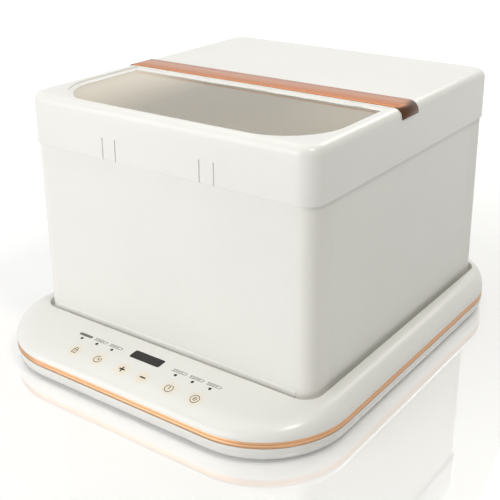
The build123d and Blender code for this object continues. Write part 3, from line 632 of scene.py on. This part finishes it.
# ---------------------------------------------------------------------------
# Printed marks on the apron: plain icons on the six touch keys and an outlined
# pill with plain dashes behind each lamp, in thin screen-printed ink.
# ---------------------------------------------------------------------------
def bar(bm, x, y, length, width, turn=0.0):
    """Adds a straight stroke."""
    bmesh.ops.create_grid(
        bm, x_segments=1, y_segments=4, size=0.5,
        matrix=Matrix.Translation((x, y, 0)) @ Matrix.Rotation(radians(turn), 4, "Z")
        @ Matrix.Diagonal((width, length, 1, 1)),
    )


def arc(bm, x, y, radius, width, start=0.0, sweep=360.0):
    """Adds a curved stroke, or a ring, by spinning a short radial edge."""
    toward = Vector((cos(radians(start)), sin(radians(start)), 0))
    ends = [bm.verts.new(Vector((x, y, 0)) + toward * reach)
            for reach in (radius - width / 2, radius + width / 2)]
    edge = bm.edges.new(ends)
    bmesh.ops.spin(bm, geom=ends + [edge], cent=(x, y, 0), axis=(0, 0, 1), angle=radians(sweep),
                   steps=max(6, round(sweep / 12)), use_merge=sweep == 360.0)


def print_marks(bm, name, ink_name, shade, proud=0.08 * mm, thickness=0.06 * mm):
    """Lays strokes on the apron in one ink, whose density is slightly uneven."""
    ink = plain_plastic(ink_name, shade, tint=0.01, roughness=0.6, peel=0.05, coat=0.0, shine=0.1)
    lay_on_apron(bm, proud, thickness)
    finish_piece(bm, name, ink, "base", [])


stroke = 0.65 * mm
bold = 1.5 * mm
lock_x, timer_x, plus_x = (key_shift - place for place in key_places)
menu_x, power_x, minus_x = (key_shift + place for place in key_places)
lock_line = key_line - 1.2 * mm

icons_bm = bmesh.new()
for side in (-1, 1):
    bar(icons_bm, lock_x + side * 2.4 * mm, lock_line, 4.2 * mm, stroke)
    bar(icons_bm, lock_x, lock_line + side * 2.1 * mm, 5.3 * mm, stroke, 90)
    bar(icons_bm, lock_x + side * 1.55 * mm, key_line + 1.5 * mm, 1.4 * mm, stroke)
arc(icons_bm, lock_x, key_line + 2.1 * mm, 1.55 * mm, stroke, 0, 180)
bar(icons_bm, lock_x, lock_line, 1.5 * mm, stroke)
arc(icons_bm, timer_x, key_line, 4.0 * mm, stroke, 80, 290)
bar(icons_bm, timer_x, key_line + 1.3 * mm, 2.6 * mm, stroke)
bar(icons_bm, timer_x + 1.1 * mm, key_line, 2.2 * mm, stroke, 90)
bar(icons_bm, timer_x + 3.5 * mm, key_line + 1.3 * mm, 1.9 * mm, stroke, 62)
arc(icons_bm, power_x, key_line, 4.2 * mm, stroke, 112, 316)
bar(icons_bm, power_x, key_line + 1.6 * mm, 4.6 * mm, stroke * 1.3)
print_marks(icons_bm, "key_icons", "brown_ink", (0.06, 0.04, 0.02))

menu_bm = bmesh.new()
arc(menu_bm, menu_x, key_line, 4.4 * mm, stroke)
for row, length in ((1.6, 3.4), (0.0, 4.4), (-1.6, 3.4)):
    bar(menu_bm, menu_x, key_line + row * mm, length * mm, stroke, 90)
print_marks(menu_bm, "menu_icon", "tan_ink", (0.15, 0.11, 0.07))

signs_bm = bmesh.new()
for sign_x, turn in ((plus_x, 0), (plus_x, 90), (minus_x, 90)):
    bar(signs_bm, sign_x, key_line, 6.6 * mm, bold, turn)
print_marks(signs_bm, "plus_minus_icons", "dark_ink", (0.015, 0.011, 0.008))

pill_length = 17.8 * mm
pill_round = 1.5 * mm
pill_line = lamp_line + 5.7 * mm
pill_stroke = 0.5 * mm
pill_reach = pill_length / 2 - pill_round
dash_pitch = 1.15 * mm
dash_length = 1.5 * mm
dash_width = 0.7 * mm
pills_bm = bmesh.new()
for pill_x in (-lamp_places[2], -lamp_places[1], -lamp_places[0], *lamp_places):
    for side in (-1, 1):
        arc(pills_bm, pill_x + side * pill_reach, pill_line, pill_round, pill_stroke, 90 - side * 180, 180)
        bar(pills_bm, pill_x, pill_line + side * pill_round, 2 * pill_reach, pill_stroke, 90)
    for dash in (-3, -1, 1, 3):
        bar(pills_bm, pill_x + dash * dash_pitch, pill_line, dash_length, dash_width, 90)
print_marks(pills_bm, "mode_pills", "grey_ink", (0.10, 0.10, 0.095))

chosen_bm = bmesh.new()
bar(chosen_bm, -lamp_places[2], pill_line, 2 * pill_reach, 2 * pill_round - pill_stroke, 90)
for side in (-1, 1):
    disc(chosen_bm, side * pill_reach - lamp_places[2], pill_line, pill_round - pill_stroke / 2)
print_marks(chosen_bm, "chosen_pill", "faded_ink", (0.24, 0.235, 0.22), proud=0.04 * mm, thickness=0.03 * mm)


# ---------------------------------------------------------------------------
# Folding walls, hinge frame and pins, and the bought-in pieces inside: heater,
# boards, screws, leads, gasket and retainer. They keep the shapes of the CAD
# solids, and each takes the finish of what it is made of.
# ---------------------------------------------------------------------------
ivory_satin = plain_plastic("ivory_satin", (0.85, 0.845, 0.81), coat=0.15)
kept_finishes = {
    "ivory_shell": ivory_gloss,
    "ivory_wall": ivory_satin,
    "hinge_plastic": plain_plastic("hinge_plastic", (0.78, 0.77, 0.73), roughness=0.5, coat=0.0),
    "smoked_lens": smoked_lens,
    "milky_lamp": dark_lamp,
    "rubber_black": rubber_black,
    "seal_rubber": soft_rubber("seal_rubber", (0.72, 0.71, 0.67)),
    "plate_aluminium": grained_metal("plate_aluminium", (0.55, 0.55, 0.54), (400, 400, 400), 0.5),
    "heater_foil": plain_plastic("heater_foil", (0.45, 0.17, 0.04), tint=0.03),
    "felt": soft_rubber("felt", (0.78, 0.76, 0.70), 0.9),
    "zinc_steel": grained_metal("zinc_steel", (0.60, 0.61, 0.62), (300, 300, 300), 0.35),
    "screw_steel": grained_metal("screw_steel", (0.30, 0.30, 0.31), (600, 600, 600), 0.3),
    "circuit_board": plain_plastic("circuit_board", (0.02, 0.16, 0.06), tint=0.01, roughness=0.35),
    "component_black": plain_plastic("component_black", (0.03, 0.03, 0.032), tint=0.005, roughness=0.5,
                                     coat=0.0),
    "component_white": plain_plastic("component_white", (0.78, 0.78, 0.75), roughness=0.45, coat=0.0),
    "transformer_yellow": plain_plastic("transformer_yellow", (0.68, 0.48, 0.06), tint=0.03, roughness=0.4,
                                        coat=0.0),
    "capacitor_sleeve": plain_plastic("capacitor_sleeve", (0.03, 0.03, 0.07), tint=0.006),
    "contact_brass": grained_metal("contact_brass", (0.72, 0.55, 0.25), (500, 500, 500), 0.25),
    "lead_insulation": soft_rubber("lead_insulation", (0.66, 0.65, 0.6), 0.5),
}
for part in frame["record"]["subparts"]:
    if part["material_slot"] in kept_finishes:
        give_finish(frame["nodes"][part["node"]].data, kept_finishes[part["material_slot"]])


# ---------------------------------------------------------------------------
# Corner strips: four soft silicone angles bonded to the front and back walls,
# which close the box's corners and ride with those walls when they fold.
# ---------------------------------------------------------------------------
corner_silicone = soft_rubber("corner_silicone", (0.87, 0.86, 0.82), 0.35)
strip_thickness = 3.2 * mm
strip_round = 15 * mm
strip_seam = 0.05 * mm
strip_lip = 0.42 * mm
for side_name, body, inward in (("front", "front_side", 1), ("back", "rear_side", -1)):
    strips_low, strips_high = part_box(side_name + "_corner_strips")
    face_y, end_y = (strips_low.y, strips_high.y) if inward > 0 else (strips_high.y, strips_low.y)
    wall_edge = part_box(side_name + "_wall")[1].x + strip_seam
    end_y += inward * strip_lip
    for end_name, sign in (("left", -1), ("right", 1)):
        strip_bm = bmesh.new()
        corner = strip_bm.verts.new((sign * strips_high.x, face_y, strips_low.z))
        near = strip_bm.verts.new((sign * wall_edge, face_y, strips_low.z))
        far = strip_bm.verts.new((sign * strips_high.x, end_y, strips_low.z))
        spare = strip_bm.verts.new((sign * wall_edge, end_y, strips_low.z))
        strip_bm.faces.new((near, corner, far, spare))
        bmesh.ops.bevel(strip_bm, geom=[corner], offset=strip_round - strip_seam, segments=16, profile=0.5,
                        affect="VERTICES", material=-1)
        bmesh.ops.delete(strip_bm, geom=[spare], context="VERTS")
        raised = bmesh.ops.extrude_edge_only(strip_bm, edges=strip_bm.edges[:])
        move_new(strip_bm, raised, (0, 0, strips_high.z - strips_low.z))
        for face in strip_bm.faces:
            if face.normal.x * sign - face.normal.y * inward < 0:
                face.normal_flip()
        bmesh.ops.solidify(strip_bm, geom=strip_bm.faces[:], thickness=strip_thickness)
        strip = finish_piece(strip_bm, side_name + "_" + end_name + "_strip", corner_silicone, body,
                             [side_name + "_corner_strips"], sharp=50.0)
        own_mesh(strip)


# ---------------------------------------------------------------------------
# Front wiper: a thin ivory plastic lip bonded along the foot of the front
# wall, so that the hinge knuckles behind it don't show above the rim.
# ---------------------------------------------------------------------------
wiper_half = 151.9 * mm
wiper_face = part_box("front_corner_strips")[0].y
wiper_profile = ((0, 37.8), (0.45, 37.8), (0.45, 42.4), (0.25, 43.2), (0.03, 43.8), (0, 43.8))

wiper_bm = bmesh.new()
wiper_bm.faces.new([wiper_bm.verts.new((-wiper_half, wiper_face - out * mm, height * mm))
                    for out, height in wiper_profile])
raised = bmesh.ops.extrude_face_region(wiper_bm, geom=wiper_bm.faces[:], use_keep_orig=True)
move_new(wiper_bm, raised, (2 * wiper_half, 0, 0))
finish_piece(wiper_bm, "front_wiper", ivory_satin, "front_side", [], sharp=30.0)


# ---------------------------------------------------------------------------
# Lid: one deep gloss ivory moulding with rolled top edges, a step inside that
# rests over the walls, an opening for the window and slits front and rear.
# ---------------------------------------------------------------------------
lid_low, lid_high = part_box("lid_shell")
pane_low, pane_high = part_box("window_pane")
lid_corner = 20 * mm
lid_roll = 9 * mm
lid_roll_steps = 12
lid_skin = 2.3 * mm
lid_inner_corner = 15.5 * mm
lid_lip = 0.4 * mm
lid_step_corner = 11.8 * mm
lid_step_inset = lid_high.x - 164 * mm
lid_ceiling = lid_high.z - 3 * mm
lid_step_foot = lid_ceiling - 6 * mm
window_overlap = 2 * mm
window_front_round = 62 * mm
window_back_round = 4 * mm
window_edge = 0.7 * mm
slit_width = 1.5 * mm
slit_height = 22 * mm
slit_depth = 1.0 * mm
slit_places = (50.6 * mm, 66.8 * mm)
cut_past = 3 * mm


def lid_loop(bm, height, inset, corner):
    """Outline of the lid at a height, drawn in by an inset."""
    return outline(bm, height, lid_high.x - inset, lid_low.y + inset, lid_high.y - inset, corner, corner)


def window_loop(bm, height, grow):
    """Outline of the window opening at a height, grown outwards all round."""
    return outline(
        bm,
        height,
        pane_high.x - window_overlap + grow,
        pane_low.y + window_overlap - grow,
        pane_high.y - window_overlap + grow,
        window_front_round + grow,
        window_back_round + grow,
    )


lid_bm = bmesh.new()
lid_loops = [
    lid_loop(lid_bm, lid_low.z, lid_skin, lid_inner_corner),
    lid_loop(lid_bm, lid_low.z, lid_lip, lid_corner - lid_lip),
    lid_loop(lid_bm, lid_low.z + lid_lip, 0, lid_corner),
]
lid_turns = [90 * step / lid_roll_steps for step in range(lid_roll_steps + 1)]
for inset, drop in rolled_edge(lid_roll, lid_turns):
    lid_loops.append(lid_loop(lid_bm, lid_high.z - drop, inset, lid_corner - inset))
for drop, grow in rolled_edge(window_edge, (0, 30, 60, 90)):
    lid_loops.append(window_loop(lid_bm, lid_high.z - drop, grow))
lid_loops.append(window_loop(lid_bm, lid_ceiling, 0))
lid_loops.append(lid_loop(lid_bm, lid_ceiling, lid_step_inset, lid_step_corner))
lid_loops.append(lid_loop(lid_bm, lid_step_foot, lid_step_inset, lid_step_corner))
lid_loops.append(lid_loop(lid_bm, lid_step_foot, lid_skin, lid_inner_corner))
skin(lid_bm, lid_loops, True)

slit_cutter = bmesh.new()
for slit_x in (-slit_places[1], -slit_places[0], *slit_places):
    for face_y in (lid_low.y, lid_high.y):
        add_block(slit_cutter, (slit_x - slit_width / 2, face_y - slit_depth, lid_low.z - cut_past),
                  (slit_x + slit_width / 2, face_y + slit_depth, lid_low.z + slit_height))
finish_piece(lid_bm, "lid_cap", ivory_gloss, "lid", ["lid_shell"], cutter=slit_cutter)


# ---------------------------------------------------------------------------
# Window: a clear, faintly warm plastic pane clamped under the lid's top. It is
# faintly hazy all over, and towards its left end the haze grows as painted light
# for the lit inner left wall behind it.
# ---------------------------------------------------------------------------
clear_pane = bpy.data.materials.new("clear_pane")
clear_pane.use_nodes = True
pane_tree = clear_pane.node_tree
pane_tree.nodes.remove(pane_tree.nodes["Principled BSDF"])
pane_place = add_node(pane_tree, "TexCoord", {}, "Object")
pane_drift = add_node(pane_tree, "TexNoise", {"Vector": pane_place, "Scale": 5.0, "Detail": 0.0}, "Fac")
pane_tint = shade_ramp(pane_tree, pane_drift, (0.955, 0.93, 0.885), (0.97, 0.95, 0.91), (0, 1))
pane_clear = add_node(pane_tree, "BsdfTransparent", {"Color": pane_tint})
pane_haze = add_node(pane_tree, "BsdfDiffuse", {"Color": (0.93, 0.85, 0.71, 1)})
pane_cloud = add_node(pane_tree, "MapRange", {
    "Value": pane_drift,
    "From Min": 0.3,
    "From Max": 0.7,
    "To Min": 0.22,
    "To Max": 0.34,
})
# Painted light: the haze grows towards the pane's left end to brighten it where the inner left wall behind
# is lit.
pane_x = add_node(pane_tree, "SeparateXYZ", {0: pane_place}, "X")
painted_light_at_left = add_node(pane_tree, "MapRange", {
    "Value": pane_x,
    "From Min": -30 * mm,
    "From Max": -150 * mm,
    "To Max": 0.42,
}, interpolation_type="SMOOTHSTEP")
haze_and_painted_light = add_node(pane_tree, "Math", {0: pane_cloud, 1: painted_light_at_left}, operation="ADD")
pane_body = add_node(pane_tree, "MixShader", {"Fac": haze_and_painted_light, 1: pane_clear, 2: pane_haze})
pane_back = add_node(pane_tree, "NewGeometry", {}, "Backfacing")
pane_front = add_node(pane_tree, "Math", {0: 1.0, 1: pane_back}, operation="SUBTRACT")
pane_mirror = add_node(pane_tree, "Fresnel", {"IOR": 1.4})
pane_share = add_node(pane_tree, "Math", {0: pane_mirror, 1: pane_front}, operation="MULTIPLY")
pane_gloss = add_node(pane_tree, "BsdfGlossy", {"Roughness": 0.04})
pane_surface = add_node(pane_tree, "MixShader", {"Fac": pane_share, 1: pane_body, 2: pane_gloss})
set_inputs(pane_tree, pane_tree.nodes["Material Output"], {"Surface": pane_surface})
give_finish(frame["nodes"]["window_pane"].data, clear_pane)


# ---------------------------------------------------------------------------
# Window bead: a hand-laid run of milky silicone that seals the pane to the
# edge of the opening, so its inner line wanders a little.
# ---------------------------------------------------------------------------
milky_silicone = soft_rubber("milky_silicone", (0.88, 0.875, 0.85), 0.3)
bead_width = 4.8 * mm
bead_inset = 0.05 * mm
bead_foot = pane_high.z + 0.02 * mm
bead_crown = pane_high.z + 1.6 * mm
bead_fall = 1.2 * mm
bead_wander = 1.6 * mm
bead_waves = 65
front_run = 25 * mm
long_edge = 12 * mm

bead_bm = bmesh.new()
bead_loops = [window_loop(bead_bm, height, -inset) for height, inset in (
    (bead_foot, bead_inset),
    (bead_crown, bead_inset),
    (bead_crown - 0.25 * mm, bead_width * 0.35),
    (bead_foot + 0.7 * mm, bead_width * 0.75),
    (bead_foot, bead_width),
)]
skin(bead_bm, bead_loops, True)
long_edges = [edge for edge in bead_bm.edges if edge.calc_length() > long_edge]
bmesh.ops.subdivide_edges(bead_bm, edges=long_edges, cuts=24, use_grid_fill=True)
for vert in bead_bm.verts:
    if vert.co.z < bead_crown - 0.1 * mm and vert.co.y > lid_low.y + front_run:
        sway = noise.noise(Vector((vert.co.x, vert.co.y, 0)) * bead_waves)
        vert.co.y += sway * bead_wander * min(1, (bead_crown - vert.co.z) / bead_fall)
finish_piece(bead_bm, "window_bead", milky_silicone, "lid", [], sharp=60.0)


# ---------------------------------------------------------------------------
# Strap: brushed rose-gold metal bent over the lid just behind the window, held
# by studs from below, with eased edges. A painted dark reflection darkens its
# colour at its two bends.
# ---------------------------------------------------------------------------
rose_gold = grained_metal("rose_gold", (0.53, 0.21, 0.09), (12, 2600, 12), 0.27)
rose_tree = rose_gold.node_tree
rose_place = add_node(rose_tree, "TexCoord", {}, "Object")
rose_x = add_node(rose_tree, "SeparateXYZ", {0: rose_place}, "X")
rose_half = add_node(rose_tree, "Math", {0: rose_x}, operation="ABSOLUTE")
# Painted dark reflection: the strap's colour goes to dark brown towards each bent end.
painted_dark_reflection_at_bends = add_node(rose_tree, "MapRange", {
    "Value": rose_half,
    "From Min": 160 * mm,
    "From Max": 166.5 * mm,
}, interpolation_type="SMOOTHSTEP")
lay_colour(rose_gold, painted_dark_reflection_at_bends, (0.085, 0.035, 0.018))
strap_low, strap_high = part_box("lid_strap")
strap_thickness = 1.1 * mm
strap_gap = 0.1 * mm
strap_roll = lid_roll + strap_gap + strap_thickness
strap_bottom = lid_high.z - 10.5 * mm

strap_bm = bmesh.new()
strap_corners = [strap_bm.verts.new((x, strap_low.y, z)) for x, z in (
    (strap_low.x, strap_bottom),
    (strap_low.x, strap_high.z),
    (strap_high.x, strap_high.z),
    (strap_high.x, strap_bottom),
)]
strap_bm.faces.new(strap_corners)
bmesh.ops.bevel(strap_bm, geom=strap_corners[1:3], offset=strap_roll, segments=14, profile=0.5,
                affect="VERTICES", material=-1)
strap_bm.faces.ensure_lookup_table()
bmesh.ops.delete(strap_bm, geom=[strap_bm.faces[0]], context="FACES_ONLY")
open_side = [edge for edge in strap_bm.edges
             if all(vert.co.z < strap_bottom + 0.01 * mm for vert in edge.verts)]
bmesh.ops.delete(strap_bm, geom=open_side, context="EDGES")
swept = bmesh.ops.extrude_edge_only(strap_bm, edges=strap_bm.edges[:])
move_new(strap_bm, swept, (0, strap_high.y - strap_low.y, 0))
bmesh.ops.recalc_face_normals(strap_bm, faces=strap_bm.faces)
if sum(face.normal.z * face.calc_area() for face in strap_bm.faces) < 0:
    bmesh.ops.reverse_faces(strap_bm, faces=strap_bm.faces)
strap_mesh = bpy.data.meshes.new("strap")
strap_bm.to_mesh(strap_mesh)
strap_bm.free()
strap_mesh.polygons.foreach_set("use_smooth", [True] * len(strap_mesh.polygons))
strap_mesh.materials.append(rose_gold)
strap = add_object("strap", strap_mesh)
strap_body = strap.modifiers.new("thickness", "SOLIDIFY")
strap_body.thickness = strap_thickness
strap_body.offset = -1
strap_ease = strap.modifiers.new("eased_edges", "BEVEL")
strap_ease.width = 0.3 * mm
strap_ease.segments = 2
strap_ease.limit_method = "ANGLE"
strap_ease.angle_limit = radians(60)
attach(strap, "lid")
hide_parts("lid_strap")
